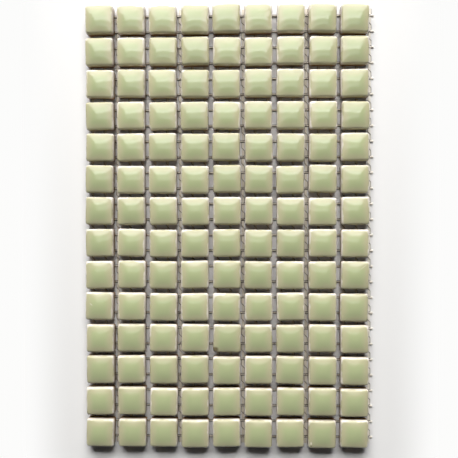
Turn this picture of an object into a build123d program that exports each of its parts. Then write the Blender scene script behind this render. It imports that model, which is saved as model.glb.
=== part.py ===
# A sheet of small glazed ceramic mosaic tiles on a glass-fibre mesh, lying face up.
#
# Millimetres. X runs across the columns, Y from the lowest row to the top row, and Z is up.
# The origin is under the middle of the sheet's box, on the surface that the sheet lies on.

import os
import random

from build123d import *

# The tile: a pressed square with upright walls and a cushioned, glazed face
tile_side = 10.3  # across the walls
tile_thickness = 5.0  # from the back to the top of the face
tile_corner_radius = 0.65  # upright corners, seen from above
crown_radius = 15.5  # ball that the face is pressed to
shoulder_radius = 0.6  # rounded edge between the face and a wall, no more than the corner radius

# The sheet: tiles in straight columns and rows, laid by hand in a jig
columns = 9
rows = 14
joint_width = 1.5  # open joint that takes the grout
laying_slip = 0.2  # furthest that a tile lies off its place, each way
laying_turn = 1.2  # furthest that a tile is turned, in degrees
laying_seed = 11  # picks one laying out of many

# The mesh: flat warp strands along Y and weft strands along X, bonded where they cross
mesh_thickness = 0.5
warp_width = 1.0
warp_spacing = 4.72
weft_width = 0.7
weft_spacing = 5.85
mesh_overhang = 2.3  # how far the mesh stands out beyond the right-hand column
mesh_setback = 0.4  # how far the mesh stays inside the tiles on its other three sides
selvedge = 0.9  # loose weft ends beyond the last warp, on the right

# Sizes that follow
pitch = tile_side + joint_width
field_width = columns * pitch - joint_width
field_length = rows * pitch - joint_width
field_middle = -mesh_overhang / 2  # the tiles sit left of the middle of the box by half the overhang
mesh_left = field_middle - field_width / 2 + mesh_setback
mesh_right = field_middle + field_width / 2 + mesh_overhang
half_mesh_length = field_length / 2 - mesh_setback


# One tile, standing on its back: upright walls under a ball-shaped face, with a rounded shoulder all round
with BuildPart() as tile:
    with BuildSketch():
        RectangleRounded(tile_side, tile_side, tile_corner_radius)
    extrude(amount=tile_thickness)
    with Locations((0, 0, tile_thickness - crown_radius)):
        Sphere(crown_radius, mode=Mode.INTERSECT)
    face = tile.faces().sort_by(Axis.Z)[-1]
    fillet(face.edges(), radius=shoulder_radius)


def row_seats(row, laying):
    """Places one row's tiles on the mesh, each a little off its place, as hand-laid tiles are."""
    y = (rows - 1) * pitch / 2 - row * pitch
    for column in range(columns):
        x = field_middle + (column - (columns - 1) / 2) * pitch
        slip_x, slip_y = (laying.uniform(-laying_slip, laying_slip) for _ in "xy")
        turn = laying.uniform(-laying_turn, laying_turn)
        yield Location((x + slip_x, y + slip_y, mesh_thickness), (0, 0, turn))


os.makedirs("parts", exist_ok=True)

# The tiles, one node for each row, counted from the top row down
laying = random.Random(laying_seed)
for row in range(rows):
    with BuildPart() as tile_row:
        with Locations(*row_seats(row, laying)):
            add(tile.part)
    tile_row.part.label = f"tile_row_{row + 1:02d}"
    export_step(tile_row.part, f"parts/{tile_row.part.label}.step")

# Strand places: the warps count leftwards from the selvedge, and the wefts outwards from the middle
last_warp = mesh_right - selvedge - warp_width / 2
warp_count = int((last_warp - warp_width / 2 - mesh_left) / warp_spacing) + 1
warp_places = [last_warp - n * warp_spacing for n in range(warp_count)]
wefts_in_half = int((half_mesh_length - weft_width / 2) / weft_spacing + 0.5)
weft_places = [(n + 0.5) * weft_spacing for n in range(wefts_in_half)]

# The mesh, in two halves that meet under the middle of the sheet
for label, side in (("mesh_upper_half", 1), ("mesh_lower_half", -1)):
    with BuildPart() as mesh_half:
        with BuildSketch():
            with Locations(*[(x, side * half_mesh_length / 2) for x in warp_places]):
                Rectangle(warp_width, half_mesh_length)
            with Locations(*[((mesh_left + mesh_right) / 2, side * y) for y in weft_places]):
                Rectangle(mesh_right - mesh_left, weft_width)
        extrude(amount=mesh_thickness)
    mesh_half.part.label = label
    export_step(mesh_half.part, f"parts/{label}.step")
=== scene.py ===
import bmesh
import bpy
import math
import random
from mathutils import Matrix, Vector


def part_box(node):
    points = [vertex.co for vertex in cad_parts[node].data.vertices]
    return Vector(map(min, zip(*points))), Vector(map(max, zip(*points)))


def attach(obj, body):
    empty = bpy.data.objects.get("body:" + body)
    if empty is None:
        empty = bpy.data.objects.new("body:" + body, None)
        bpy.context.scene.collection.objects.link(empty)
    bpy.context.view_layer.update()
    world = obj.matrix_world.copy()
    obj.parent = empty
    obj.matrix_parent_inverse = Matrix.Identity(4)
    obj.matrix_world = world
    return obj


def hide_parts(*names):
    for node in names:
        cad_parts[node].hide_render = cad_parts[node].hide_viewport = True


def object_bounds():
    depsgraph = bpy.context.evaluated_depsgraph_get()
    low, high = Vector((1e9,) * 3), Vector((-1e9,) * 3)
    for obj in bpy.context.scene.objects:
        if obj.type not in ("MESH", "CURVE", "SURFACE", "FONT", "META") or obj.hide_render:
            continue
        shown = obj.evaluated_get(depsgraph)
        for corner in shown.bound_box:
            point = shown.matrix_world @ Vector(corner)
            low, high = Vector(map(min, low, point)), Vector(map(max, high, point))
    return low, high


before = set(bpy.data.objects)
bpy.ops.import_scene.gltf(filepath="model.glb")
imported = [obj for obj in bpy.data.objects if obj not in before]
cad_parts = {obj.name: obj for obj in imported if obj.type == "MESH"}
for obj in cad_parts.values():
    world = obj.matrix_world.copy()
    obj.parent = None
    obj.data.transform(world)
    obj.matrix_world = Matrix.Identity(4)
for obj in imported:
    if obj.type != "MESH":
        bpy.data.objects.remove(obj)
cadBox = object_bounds()  # the solids' own box, before anything is dressed
print("frame loaded:", len(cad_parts), "nodes")

tileRows = sorted(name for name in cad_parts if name.startswith("tile_row"))
millimetre = 0.001


def linear(hexColour):
    channels = [int(hexColour[n:n + 2], 16) / 255 for n in (1, 3, 5)]
    return [c / 12.92 if c <= 0.04045 else ((c + 0.055) / 1.055) ** 2.4 for c in channels] + [1]


def addNode(tree, kind, settings=(), links=()):  # a Mix node's colours are its inputs 6 and 7 and output 2
    node = tree.nodes.new(kind)
    for name, value in dict(settings).items():
        if isinstance(name, int) or name in node.inputs:
            node.inputs[name].default_value = value
        else:
            setattr(node, name, value)
    for socket, source in dict(links).items():
        tree.links.new(source, node.inputs[socket])
    return node


def newMaterial(name):
    material = bpy.data.materials.new(name)
    material.use_nodes = True
    material.node_tree.nodes.clear()
    return material, material.node_tree


def featureScale(size):
    return 1 / (size * millimetre)  # texture scale for features of this many millimetres


def deselectAll():
    if bpy.context.mode != "OBJECT":
        bpy.ops.object.mode_set(mode="OBJECT")
    bpy.ops.object.select_all(action="DESELECT")


def selectOnly(*pieces):
    deselectAll()
    for piece in pieces:
        piece.select_set(True)
    bpy.context.view_layer.objects.active = pieces[0]


def editSelect(piece, kind, test):
    bm = bmesh.from_edit_mesh(piece.data)
    for element in [*bm.verts, *bm.edges, *bm.faces]:
        element.select = False
    for element in getattr(bm, kind):
        if test(element):
            element.select_set(True)
    bm.select_flush_mode()
    bmesh.update_edit_mesh(piece.data)


def selectedReach(piece):
    bm = bmesh.from_edit_mesh(piece.data)
    return max(v.co.x for v in bm.verts if v.select)


def dress(piece, name, node, material):
    piece.name = name
    piece.data.name = name
    piece.data.materials.clear()
    piece.data.materials.append(material)
    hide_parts(node)
    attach(piece, "root")


# Glazed tile: one pressed cushion tile, modelled once and copied to every seat
tileShape = {
    "side": 10.3 * millimetre,
    "thickness": 5.0 * millimetre,
    "cornerRadius": 0.75 * millimetre,
    "cornerSegments": 3,
    "sideCuts": 5,
    "crownRise": 0.92 * millimetre,  # of the middle of the face above the middle of its sides
    "cornerLift": 0.75,  # 0 for a face as round as a ball, 1 for a level rim
    "crownRings": 6,
    "ringRounding": 0.3,  # how much each ring of the face is rounder than the one outside it
    "dieReach": 1.5,  # width of the lattice that presses the crown, in sides of the tile
    "diePoints": 7,
    "shoulderRadius": 0.75 * millimetre,
    "shoulderSegments": 5,
    "shoulderRoom": 1.25,  # shoulder radii between the walls and the first ring of the face
    "rimAngle": math.radians(58),  # an edge that folds more than this is the rim of the face
    "backBevel": 0.25 * millimetre,
    "smoothAngle": math.radians(42),
    "glazePower": 8,  # even, and higher where the glaze follows the square of the tile more closely
    "southShading": 0.88,  # painted light and shade: the face is coloured darker and greener towards the south and paler towards the north
}


def pressCrown(tile, shape):
    face = tile.vertex_groups.new(name="face")
    face.add([v.index for v in tile.data.vertices if v.co.z > shape["thickness"] / 2], 1, "REPLACE")
    bpy.ops.object.add(type="LATTICE", location=(0, 0, shape["thickness"]))
    die = bpy.context.active_object
    die.scale = (shape["dieReach"] * shape["side"], shape["dieReach"] * shape["side"], 1)
    die.data.points_u = die.data.points_v = shape["diePoints"]
    die.data.points_w = 1
    die.data.interpolation_type_u = die.data.interpolation_type_v = "KEY_CATMULL_ROM"
    for point in die.data.points:
        across, along = [2 * shape["dieReach"] * c for c in point.co.xy]  # 1 at the rim
        fall = across ** 2 + along ** 2 - shape["cornerLift"] * (across * along) ** 2
        point.co_deform.z -= shape["crownRise"] * fall
    selectOnly(tile)
    bpy.ops.object.modifier_add(type="LATTICE")
    press = tile.modifiers[-1]
    press.object = die
    press.vertex_group = face.name
    bpy.ops.object.modifier_apply(modifier=press.name)
    bpy.data.objects.remove(die)
    tile.vertex_groups.clear()


def rimShare(place, shape):
    # painted light and shade: the south half reaches the pale rim colours later than the north half
    along = place.y if place.y > 0 else shape["southShading"] * place.y
    power = shape["glazePower"]
    return (place.x ** power + along ** power) ** (1 / power) / (shape["side"] / 2)


def modelTile(shape):
    side, half, bevel = shape["side"], shape["side"] / 2, shape["backBevel"]
    faceWidth = half - shape["shoulderRoom"] * shape["shoulderRadius"]
    rings = [(half - bevel, 0), (half, bevel), (half, shape["thickness"])]  # half the width, and the height
    for n in range(shape["crownRings"]):  # the last is half a step from the middle
        rings.append((faceWidth * (1 - n / (shape["crownRings"] - 0.5)), shape["thickness"]))
    deselectAll()
    bpy.ops.mesh.primitive_plane_add(size=2 * rings[0][0])
    tile = bpy.context.active_object
    bpy.ops.object.mode_set(mode="EDIT")
    bpy.ops.mesh.select_all(action="SELECT")
    bpy.ops.mesh.bevel(offset=shape["cornerRadius"], segments=shape["cornerSegments"], affect="VERTICES")
    bpy.ops.mesh.delete(type="ONLY_FACE")  # the outline alone is drawn up into the tile
    editSelect(tile, "edges", lambda e: e.calc_length() > side / 2)
    bpy.ops.mesh.subdivide(number_cuts=shape["sideCuts"])
    bpy.ops.mesh.select_all(action="SELECT")
    for last, ring in zip(rings, rings[1:]):  # each ring is drawn up and in from the last
        width, height = ring
        bpy.ops.mesh.extrude_edges_move(TRANSFORM_OT_translate={"value": (0, 0, height - last[1])})
        bpy.ops.transform.tosphere(value=shape["ringRounding"] * (1 - width / half))
        drawIn = width / selectedReach(tile)
        bpy.ops.transform.resize(value=(drawIn, drawIn, 1), center_override=(0, 0, height))
    bpy.ops.mesh.extrude_edges_move()
    bpy.ops.mesh.merge(type="CENTER")
    bpy.ops.object.mode_set(mode="OBJECT")
    pressCrown(tile, shape)
    bpy.ops.object.mode_set(mode="EDIT")
    editSelect(tile, "edges", lambda e: e.is_boundary)
    bpy.ops.mesh.edge_face_add()  # the flat back
    bpy.ops.mesh.select_all(action="SELECT")
    bpy.ops.mesh.normals_make_consistent(inside=False)
    editSelect(tile, "edges", lambda e: e.is_manifold and e.calc_face_angle() > shape["rimAngle"])
    bpy.ops.mesh.bevel(offset=shape["shoulderRadius"], segments=shape["shoulderSegments"], affect="EDGES",
                       clamp_overlap=False)
    bpy.ops.object.mode_set(mode="OBJECT")
    bpy.ops.object.shade_smooth_by_angle(angle=shape["smoothAngle"])
    rim = tile.data.attributes.new("rim", "FLOAT", "POINT")  # 0 in the middle of the face, 1 at the walls
    rim.data.foreach_set("value", [rimShare(v.co, shape) for v in tile.data.vertices])
    print("tile modelled:", len(tile.data.polygons), "faces")
    return tile


laying = {
    "seed": 5,
    "tilt": math.radians(0.7),  # furthest that a tile leans on its bed of glue
    "crownSpread": 0.05,  # share by which one tile is fuller than another
    "toneSpread": 1.0,
    "eastFacing": 0.99,  # least share of X in the normal of a tile's east wall
}


def readSeats(node):
    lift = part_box(node)[0].z
    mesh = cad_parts[node].data
    corners = [[mesh.vertices[n].co for n in face.vertices] for face in mesh.polygons]
    spans = []  # west and east end of each tile: faces whose reach along X overlaps belong to one tile
    for west, east in sorted((min(c.x for c in face), max(c.x for c in face)) for face in corners):
        if spans and west <= spans[-1][1]:
            spans[-1][1] = max(spans[-1][1], east)
        else:
            spans.append([west, east])
    seats = []
    for west, east in spans:
        along = [v.co.y for v in mesh.vertices if west <= v.co.x <= east]
        middle = Vector(((west + east) / 2, (min(along) + max(along)) / 2, lift))
        walls = [f for f in mesh.polygons
                 if west < f.center.x <= east and f.normal.x > laying["eastFacing"]]
        wall = max(walls, key=lambda f: f.area)  # the flat wall on the east side shows the turn
        seats.append((middle, math.atan2(wall.normal.y, wall.normal.x)))
    return seats


def layRow(node, tile, spread, material):
    copies = []
    for middle, turn in readSeats(node):
        copy = bpy.data.objects.new("tileCopy", tile.data.copy())
        bpy.context.scene.collection.objects.link(copy)
        tone = copy.data.attributes.new("tone", "FLOAT", "POINT")
        tone.data.foreach_set("value", [spread.uniform(0, laying["toneSpread"])] * len(copy.data.vertices))
        lean = [spread.uniform(-laying["tilt"], laying["tilt"]) for _ in "xy"]
        fullness = 1 + spread.uniform(-laying["crownSpread"], 0)
        copy.matrix_world = (
            Matrix.Translation(middle) @ Matrix.Rotation(turn, 4, "Z") @ Matrix.Rotation(lean[0], 4, "X")
            @ Matrix.Rotation(lean[1], 4, "Y") @ Matrix.Diagonal((1, 1, fullness, 1)))
        copies.append(copy)
    selectOnly(*copies)
    bpy.ops.object.join()
    bpy.ops.object.transform_apply(location=True, rotation=True, scale=True)
    row = bpy.context.active_object
    dress(row, node.replace("tile_row", "glazed_row"), node, material)


# Marks on single tiles, in millimetres: a brown stain on a corner, a chip, and two thin pale lines of
# painted highlight on the glaze
glazeMarksAndGlints = [
    {"place": (-5.6, -45.4), "reach": (1.5, 1.1), "turn": 10, "colour": "#5C4A22", "cover": 0.85},
    {"place": (30.1, -80.1), "reach": (0.35, 0.75), "turn": 0, "colour": "#E4DFCB", "cover": 0.9},
    {"place": (30.15, -81.0), "reach": (0.45, 0.3), "turn": 0, "colour": "#5A4A2A", "cover": 0.7},
    # painted highlights: the two thin pale lines below are glints on the glaze
    {"place": (-51.3, -28.6), "reach": (0.75, 0.22), "turn": -40, "colour": "#DCD8BE", "cover": 0.6},
    {"place": (49.1, -14.6), "reach": (1.7, 0.14), "turn": 36, "colour": "#DCD8BE", "cover": 0.5},
]
markEdge = {"outer": 1.6, "inner": 1.1}  # in reaches of a mark, with the mottle added to make it ragged


def addMarksAndGlints(tree, place, mottle, colour):
    for mark in glazeMarksAndGlints:
        middle = [c * millimetre for c in mark["place"]] + [0]
        reach = [c * millimetre for c in mark["reach"]] + [1]
        turn = (0, 0, math.radians(mark["turn"]))
        around = addNode(tree, "ShaderNodeMapping",
                         {"vector_type": "TEXTURE", "Location": middle, "Rotation": turn, "Scale": reach},
                         {"Vector": place.outputs["Object"]})
        away = addNode(tree, "ShaderNodeVectorMath", {"operation": "LENGTH"}, {0: around.outputs["Vector"]})
        ragged = addNode(tree, "ShaderNodeMath", {"operation": "ADD"},
                         {0: away.outputs["Value"], 1: mottle.outputs["Fac"]})
        cover = addNode(tree, "ShaderNodeMapRange",
                        {"From Min": markEdge["outer"], "From Max": markEdge["inner"],
                         "To Max": mark["cover"]},
                        {"Value": ragged.outputs["Value"]})
        mixed = addNode(tree, "ShaderNodeMix", {"data_type": "RGBA", 7: linear(mark["colour"])},
                        {0: cover.outputs["Result"], 6: colour})
        colour = mixed.outputs[2]
    return colour


# Celadon glaze over pressed stoneware: a clear, glassy coat that pools green in the middle of the face
# and runs thin over the edges, where the cream and tan of the clay show through
celadonLook = {
    "pool": "#ADB686",
    "rim": "#BBB690",
    "thin": "#E5DDD0",
    "wall": "#7A5830",
    "poolAt": 0.3,  # where each colour is full, from the middle of the face at 0 to its edge at 1
    "rimAt": 0.88,
    "thinAt": 1.0,
    "wallTop": 3.9 * millimetre,  # height below which bare clay begins to show on the walls
    "wallBare": 2.2 * millimetre,
    "mottleSize": 3.0,  # in millimetres, as the ripple's is
    "mottleDetail": 3.0,
    "mottleDepth": 0.3,  # how far the mottle moves the colours
    "mottleShift": -0.185,
    "toneDepth": 0.06,  # how far they move from tile to tile: some are paler, some greener
    "darkestTile": 0.96,
    "lightestTile": 1.04,
    "rippleSize": 2.5,
    "rippleDetail": 1.0,
    "rippleStrength": 0.45,
    "rippleHeight": 0.05 * millimetre,
    "roughness": 0.095,
    "ior": 1.45,
}


def celadonGlaze(look):
    material, tree = newMaterial("celadonGlaze")
    place = addNode(tree, "ShaderNodeTexCoord")
    rim = addNode(tree, "ShaderNodeAttribute", {"attribute_name": "rim"})
    tone = addNode(tree, "ShaderNodeAttribute", {"attribute_name": "tone"})
    mottle = addNode(tree, "ShaderNodeTexNoise",
                     {"Scale": featureScale(look["mottleSize"]), "Detail": look["mottleDetail"]},
                     {"Vector": place.outputs["Object"]})
    mottled = addNode(tree, "ShaderNodeMath",
                      {"operation": "MULTIPLY_ADD", 1: look["mottleDepth"], 2: look["mottleShift"]},
                      {0: mottle.outputs["Fac"]})
    pooled = addNode(tree, "ShaderNodeMath", {"operation": "MULTIPLY_ADD", 1: look["toneDepth"]},
                     {0: tone.outputs["Fac"], 2: mottled.outputs["Value"]})
    depth = addNode(tree, "ShaderNodeMath", {"operation": "ADD"},
                    {0: rim.outputs["Fac"], 1: pooled.outputs["Value"]})
    ramp = addNode(tree, "ShaderNodeValToRGB", {}, {"Fac": depth.outputs["Value"]})
    ramp.color_ramp.interpolation = "EASE"
    stops = ramp.color_ramp.elements
    for stop, name in zip(stops, ("pool", "rim")):
        stop.position = look[name + "At"]
        stop.color = linear(look[name])
    stops.new(look["thinAt"]).color = linear(look["thin"])
    height = addNode(tree, "ShaderNodeSeparateXYZ", {}, {"Vector": place.outputs["Object"]})
    bare = addNode(tree, "ShaderNodeMapRange", {"From Min": look["wallTop"], "From Max": look["wallBare"]},
                   {"Value": height.outputs["Z"]})
    walled = addNode(tree, "ShaderNodeMix", {"data_type": "RGBA", 7: linear(look["wall"])},
                     {0: bare.outputs["Result"], 6: ramp.outputs["Color"]})
    vary = addNode(tree, "ShaderNodeMapRange",
                   {"To Min": look["darkestTile"], "To Max": look["lightestTile"]},
                   {"Value": tone.outputs["Fac"]})
    varied = addNode(tree, "ShaderNodeHueSaturation", {},
                     {"Color": walled.outputs[2], "Value": vary.outputs["Result"]})
    marked = addMarksAndGlints(tree, place, mottle, varied.outputs["Color"])
    ripple = addNode(tree, "ShaderNodeTexNoise",
                     {"Scale": featureScale(look["rippleSize"]), "Detail": look["rippleDetail"]},
                     {"Vector": place.outputs["Object"]})
    bump = addNode(tree, "ShaderNodeBump",
                   {"Strength": look["rippleStrength"], "Distance": look["rippleHeight"]},
                   {"Height": ripple.outputs["Fac"]})
    shader = addNode(tree, "ShaderNodeBsdfPrincipled", {"Roughness": look["roughness"], "IOR": look["ior"]},
                     {"Base Color": marked, "Normal": bump.outputs["Normal"]})
    addNode(tree, "ShaderNodeOutputMaterial", {}, {"Surface": shader.outputs["BSDF"]})
    return material


# Backing mesh of glass fibre: each warp is a flat band, tied to the wefts by a thin binding yarn in a zigzag
meshShape = {
    "warpSpacing": 4.72 * millimetre,
    "weftSpacing": 5.85 * millimetre,
    "selvedge": 0.9 * millimetre,
    "warpWidth": 1.0 * millimetre,
    "warpThickness": 0.2 * millimetre,
    "warpShade": (0, 0),  # share of painted shade at each point along a yarn
    "binderWidth": 0.3 * millimetre,
    "binderThickness": 0.18 * millimetre,
    "binderSwing": 0.56 * millimetre,
    "binderShade": (1, 0.18, 0.18, 1, 0.18, 0.18, 1),  # painted shade, most where it crosses the band
    "crossing": 0.1,  # share of a cell to either side of a crossing in which the binding yarn changes sides
    "weftWidth": 0.9 * millimetre,
    "weftThickness": 0.42 * millimetre,
    "weftShade": (1, 1, 0),  # painted shade on the weft, none at the loose edge
    "weftTopSpared": 0.92,  # how much of the painted shade is spared on the top of a weft, so that its sides are painted darker
    "sides": 6,
    "mergeWithin": 0.01 * millimetre,
    "smoothAngle": math.radians(75),
}


def applyArray(piece, count, offset, merge):
    selectOnly(piece)
    bpy.ops.object.modifier_add(type="ARRAY")
    array = piece.modifiers[-1]
    array.count = count
    array.use_relative_offset = False
    array.use_constant_offset = True
    array.constant_offset_displace = offset
    array.use_merge_vertices = merge
    array.merge_threshold = meshShape["mergeWithin"]
    bpy.ops.object.modifier_apply(modifier=array.name)


def drawYarn(path, width, thickness, along, yarnShade, topSpared=0):
    deselectAll()
    sides = meshShape["sides"]
    turned = (math.pi / 2, 0, 0) if along == "Y" else (0, math.pi / 2, 0)
    bpy.ops.mesh.primitive_circle_add(vertices=sides, radius=1 / 2, location=path[0], rotation=turned)
    yarn = bpy.context.active_object
    bpy.ops.object.transform_apply(location=True, rotation=True, scale=True)
    bpy.ops.object.mode_set(mode="EDIT")
    bpy.ops.mesh.select_all(action="SELECT")
    size = (width, 1, thickness) if along == "Y" else (1, width, thickness)
    bpy.ops.transform.resize(value=size, center_override=path[0])
    for start, end in zip(path, path[1:]):
        step = Vector(end) - Vector(start)
        bpy.ops.mesh.extrude_edges_move(TRANSFORM_OT_translate={"value": step})
    bpy.ops.object.mode_set(mode="OBJECT")
    paintedShade = yarn.data.attributes.new("paintedShade", "FLOAT", "POINT")  # 1 where the yarn is painted dark brown as shade
    paintedShade.data.foreach_set("value", [
        yarnShade[v.index // sides] * (1 - topSpared * abs(v.normal.z)) for v in yarn.data.vertices])
    return yarn


def zigzagPath(middle, side, height, top):
    across, turn = side * meshShape["binderSwing"], meshShape["crossing"]
    shape = ((0, 0, height), (turn, -across, height), (0.5 - turn, -across, height), (0.5, 0, top),
             (0.5 + turn, across, height), (1 - turn, across, height), (1, 0, height))
    return [(middle + x, side * share * meshShape["weftSpacing"], z) for share, x, z in shape]


def weaveWarps(low, high, side, reach, lastWarp):
    width, thickness, cell = meshShape["warpWidth"], meshShape["warpThickness"], meshShape["weftSpacing"]
    bandPath = [(lastWarp, y, low.z + thickness / 2) for y in (0, side * cell)]
    band = drawYarn(bandPath, width, thickness, "Y", meshShape["warpShade"])
    top = high.z - meshShape["binderThickness"] / 2
    binder = drawYarn(zigzagPath(lastWarp, side, low.z + thickness, top),
                      meshShape["binderWidth"], meshShape["binderThickness"], "Y", meshShape["binderShade"])
    for yarn in (band, binder):
        applyArray(yarn, math.ceil(reach / cell), (0, side * cell, 0), True)
    selectOnly(band, binder)
    bpy.ops.object.join()
    warps = bpy.context.active_object
    bpy.ops.object.mode_set(mode="EDIT")
    bpy.ops.mesh.select_all(action="SELECT")
    bpy.ops.mesh.bisect(plane_co=(0, side * reach, 0), plane_no=(0, side, 0), clear_outer=True)
    bpy.ops.object.mode_set(mode="OBJECT")
    warpCount = int((lastWarp - width / 2 - low.x) / meshShape["warpSpacing"]) + 1
    applyArray(warps, warpCount, (-meshShape["warpSpacing"], 0, 0), False)
    return warps


def weaveWefts(low, high, side, reach, lastWarp):
    cell = meshShape["weftSpacing"]
    stations = (low.x, lastWarp - meshShape["warpSpacing"] / 2, high.x)
    path = [(x, side * cell / 2, (low.z + high.z) / 2) for x in stations]
    wefts = drawYarn(path, meshShape["weftWidth"], meshShape["weftThickness"], "X",
                     meshShape["weftShade"], meshShape["weftTopSpared"])
    applyArray(wefts, int(reach / cell + 0.5), (0, side * cell, 0), False)
    return wefts


def modelMesh(node, material):
    low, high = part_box(node)
    side = 1 if high.y > -low.y else -1
    reach = max(high.y, -low.y)
    lastWarp = high.x - meshShape["selvedge"] - meshShape["warpWidth"] / 2
    warps = weaveWarps(low, high, side, reach, lastWarp)
    wefts = weaveWefts(low, high, side, reach, lastWarp)
    selectOnly(warps, wefts)
    bpy.ops.object.join()
    mesh = bpy.context.active_object
    bpy.ops.object.mode_set(mode="EDIT")
    bpy.ops.mesh.select_all(action="SELECT")
    bpy.ops.mesh.fill_holes(sides=meshShape["sides"])  # the ends of the yarns
    bpy.ops.mesh.normals_make_consistent(inside=False)
    bpy.ops.object.mode_set(mode="OBJECT")
    bpy.ops.object.shade_smooth_by_angle(angle=meshShape["smoothAngle"])
    name = node.replace("mesh_", "woven_mesh_").replace("_half", "")
    dress(mesh, name, node, material)


# Glass-fibre yarn with a white dressing that binds it: soft white, with painted shade on the sides of the
# wefts and at the crossings of the binding yarn
fibreLook = {
    "top": "#F3EEE2",
    "streak": "#E8E0D0",
    "jointTint": "#A98C52",
    # the dark brown of the painted shade on the yarn
    "yarnShade": "#2C2213",
    "streakSize": 0.4,  # in millimetres
    "streakDetail": 2.0,
    "jointTintCover": 0.2,  # painted warm shade tints the yarn between the tiles, not the loose edge
    "jointTintEnd": 1.8 * millimetre,  # in from the loose edge
    "jointTintFull": 2.4 * millimetre,
    "shadeFrom": 0.08,  # least share of painted shade that shows
    "shadeFull": 0.3,
    "roughness": 0.6,
    "ior": 1.5,
}


def glassFibre(look):
    material, tree = newMaterial("glassFibreYarn")
    place = addNode(tree, "ShaderNodeTexCoord")
    paintedShade = addNode(tree, "ShaderNodeAttribute", {"attribute_name": "paintedShade"})
    streak = addNode(tree, "ShaderNodeTexNoise",
                     {"Scale": featureScale(look["streakSize"]), "Detail": look["streakDetail"]},
                     {"Vector": place.outputs["Object"]})
    streaked = addNode(tree, "ShaderNodeMix",
                       {"data_type": "RGBA", 6: linear(look["top"]), 7: linear(look["streak"])},
                       {0: streak.outputs["Fac"]})
    across = addNode(tree, "ShaderNodeSeparateXYZ", {}, {"Vector": place.outputs["Object"]})
    # painted warm shade on the yarn between the tiles, fading out towards the loose edge
    jointTint = addNode(tree, "ShaderNodeMapRange",
                   {"From Min": cadBox[1].x - look["jointTintEnd"], "From Max": cadBox[1].x - look["jointTintFull"],
                    "To Max": look["jointTintCover"]},
                   {"Value": across.outputs["X"]})
    jointTinted = addNode(tree, "ShaderNodeMix", {"data_type": "RGBA", 7: linear(look["jointTint"])},
                     {0: jointTint.outputs["Result"], 6: streaked.outputs[2]})
    # painted shade: the yarn turns dark brown on the weft sides and where the binding yarn crosses
    shadeMask = addNode(tree, "ShaderNodeMapRange",
                    {"From Min": look["shadeFrom"], "From Max": look["shadeFull"]},
                    {"Value": paintedShade.outputs["Fac"]})
    shaded = addNode(tree, "ShaderNodeMix", {"data_type": "RGBA", 7: linear(look["yarnShade"])},
                      {0: shadeMask.outputs["Result"], 6: jointTinted.outputs[2]})
    shader = addNode(tree, "ShaderNodeBsdfPrincipled", {"Roughness": look["roughness"], "IOR": look["ior"]},
                     {"Base Color": shaded.outputs[2]})
    addNode(tree, "ShaderNodeOutputMaterial", {}, {"Surface": shader.outputs["BSDF"]})
    return material


glaze = celadonGlaze(celadonLook)
masterTile = modelTile(tileShape)
spread = random.Random(laying["seed"])
for rowName in tileRows:
    layRow(rowName, masterTile, spread, glaze)
bpy.data.objects.remove(masterTile)
print("tiles laid:", len(tileRows), "rows")

fibre = glassFibre(fibreLook)
for halfName in ("mesh_upper_half", "mesh_lower_half"):
    modelMesh(halfName, fibre)
print("mesh woven")

# Floor: a plain pale board that keeps the shadow and fades into a white background further out
backdrop = {
    "size": 6,  # metres
    "board": "#F0EFED",
    "white": "#FCFCFB",
    "fadeFrom": 6 * millimetre,  # beyond the sheet
    "fadeTo": 25 * millimetre,
    "roughness": 0.9,
    "specular": 0.2,
}


def seenAsBackground(tree):
    path = addNode(tree, "ShaderNodeLightPath")
    seen = addNode(tree, "ShaderNodeMath", {"operation": "MAXIMUM"},
                   {0: path.outputs["Is Camera Ray"], 1: path.outputs["Is Glossy Ray"]})
    seenThrough = addNode(tree, "ShaderNodeMath", {"operation": "MAXIMUM"},
                          {0: seen.outputs["Value"], 1: path.outputs["Is Transmission Ray"]})
    straight = addNode(tree, "ShaderNodeMath", {"operation": "LESS_THAN", 1: 0.5},
                       {0: path.outputs["Diffuse Depth"]})  # as a background alone, not as more light
    shown = addNode(tree, "ShaderNodeMath", {"operation": "MULTIPLY"},
                    {0: seenThrough.outputs["Value"], 1: straight.outputs["Value"]})
    return shown.outputs["Value"]


def paleFloor(look):
    material, tree = newMaterial("paleBoard")
    place = addNode(tree, "ShaderNodeTexCoord")
    outward = addNode(tree, "ShaderNodeVectorMath", {"operation": "ABSOLUTE"}, {0: place.outputs["Object"]})
    past = addNode(tree, "ShaderNodeVectorMath",
                   {"operation": "SUBTRACT", 1: (cadBox[1].x, cadBox[1].y, 0)},
                   {0: outward.outputs["Vector"]})
    beyond = addNode(tree, "ShaderNodeVectorMath", {"operation": "MAXIMUM", 1: (0, 0, 0)},
                     {0: past.outputs["Vector"]})
    away = addNode(tree, "ShaderNodeVectorMath", {"operation": "LENGTH"}, {0: beyond.outputs["Vector"]})
    fade = addNode(tree, "ShaderNodeMapRange",
                   {"From Min": look["fadeFrom"], "From Max": look["fadeTo"],
                    "interpolation_type": "SMOOTHSTEP"},
                   {"Value": away.outputs["Value"]})
    share = addNode(tree, "ShaderNodeMath", {"operation": "MULTIPLY"},
                    {0: fade.outputs["Result"], 1: seenAsBackground(tree)})
    board = addNode(tree, "ShaderNodeBsdfPrincipled",
                    {"Base Color": linear(look["board"]), "Roughness": look["roughness"],
                     "Specular IOR Level": look["specular"]})
    white = addNode(tree, "ShaderNodeEmission", {"Color": linear(look["white"]), "Strength": 1.0})
    faded = addNode(tree, "ShaderNodeMixShader", {},
                    {"Fac": share.outputs["Value"], 1: board.outputs["BSDF"], 2: white.outputs["Emission"]})
    addNode(tree, "ShaderNodeOutputMaterial", {}, {"Surface": faded.outputs["Shader"]})
    material.cycles.emission_sampling = "NONE"
    return material


deselectAll()
bpy.ops.mesh.primitive_plane_add(size=backdrop["size"])
floor = bpy.context.active_object
floor.name = "floor"
floor.data.materials.append(paleFloor(backdrop))
print("floor laid")

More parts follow.
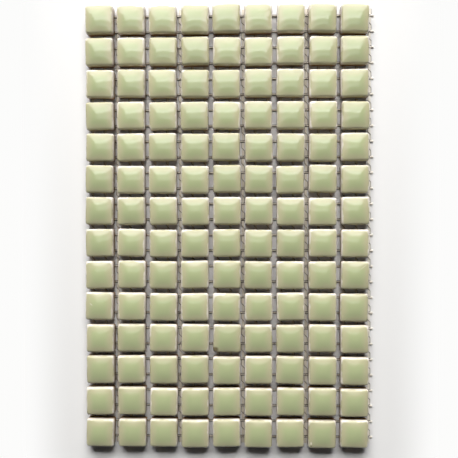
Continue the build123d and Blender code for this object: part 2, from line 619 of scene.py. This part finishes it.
# Light: a softbox beyond the top row lights the surfaces, cards around it show in the gloss alone, and the
# sky is weak. Each reaches from one angle off the zenith to another, with a span and a heading, in degrees
lightRig = {
    "softboxDistance": 1.2,
    "cardDistance": 1.1,
    "softbox": {"from": 38, "to": 71, "span": 47, "heading": 4, "radiance": 12.3},
    "lowCard": {"from": 71, "to": 82, "span": 80, "heading": 5, "radiance": 5.5},
    "middleCard": {"from": 38, "to": 71, "span": 64, "heading": 4, "radiance": 6.0},
    "shoulderCard": {"from": 28, "to": 37.5, "span": 58, "heading": 1, "radiance": 6.0},
    "upperCard": {"from": 19, "to": 27.5, "span": 52, "heading": 1, "radiance": 7.4},
    "topCard": {"from": 10, "to": 18.5, "span": 46, "heading": 1, "radiance": 1.7},
    "zenithCard": {"from": 3.5, "to": 9.5, "span": 46, "heading": 1, "radiance": 2.9},
    "sky": 0.022,
}


def addPanel(name, distance):
    rig = lightRig[name]
    start, end, span, heading = [math.radians(rig[key]) for key in ("from", "to", "span", "heading")]
    height = 2 * distance * math.tan((end - start) / 2)
    width = 2 * distance * math.tan(span / 2)
    data = bpy.data.lights.new(name, "AREA")
    data.shape = "RECTANGLE"
    data.size, data.size_y = width, height
    data.energy = rig["radiance"] * math.pi * width * height  # watts for that radiance
    panel = bpy.data.objects.new(name, data)
    bpy.context.scene.collection.objects.link(panel)
    aim = Matrix.Rotation(heading, 4, "Z") @ Matrix.Rotation(-(start + end) / 2, 4, "X")
    panel.matrix_world = aim @ Matrix.Translation((0, 0, distance))
    panel.visible_camera = False
    return panel


addPanel("softbox", lightRig["softboxDistance"]).visible_glossy = False
for cardName in ("lowCard", "middleCard", "shoulderCard", "upperCard", "topCard", "zenithCard"):
    addPanel(cardName, lightRig["cardDistance"]).visible_diffuse = False

world = bpy.data.worlds.new("studio")
bpy.context.scene.world = world
world.use_nodes = True
sky = world.node_tree
sky.nodes.clear()
strength = addNode(sky, "ShaderNodeMapRange", {"To Min": lightRig["sky"], "To Max": 1.0},
                   {"Value": seenAsBackground(sky)})
background = addNode(sky, "ShaderNodeBackground", {"Color": linear(backdrop["white"])},
                     {"Strength": strength.outputs["Result"]})
addNode(sky, "ShaderNodeOutputWorld", {}, {"Surface": background.outputs["Background"]})

# Camera: almost straight above the sheet, nearer to its top and right
camera = {
    "place": (3.7 * millimetre, 2.15 * millimetre, 210 * millimetre),
    "turn": (math.radians(-0.778), math.radians(1.111), 0),
    "lens": 43.8,
    "sensor": 36,
    "clipStart": 10 * millimetre,
}
cameraData = bpy.data.cameras.new("camera")
cameraData.sensor_width = camera["sensor"]
cameraData.lens = camera["lens"]
cameraData.clip_start = camera["clipStart"]
cameraObject = bpy.data.objects.new("camera", cameraData)
bpy.context.scene.collection.objects.link(cameraObject)
cameraObject.location = camera["place"]
cameraObject.rotation_euler = camera["turn"]
bpy.context.scene.camera = cameraObject
bpy.context.scene.view_settings.view_transform = "Standard"
print("light and camera set")
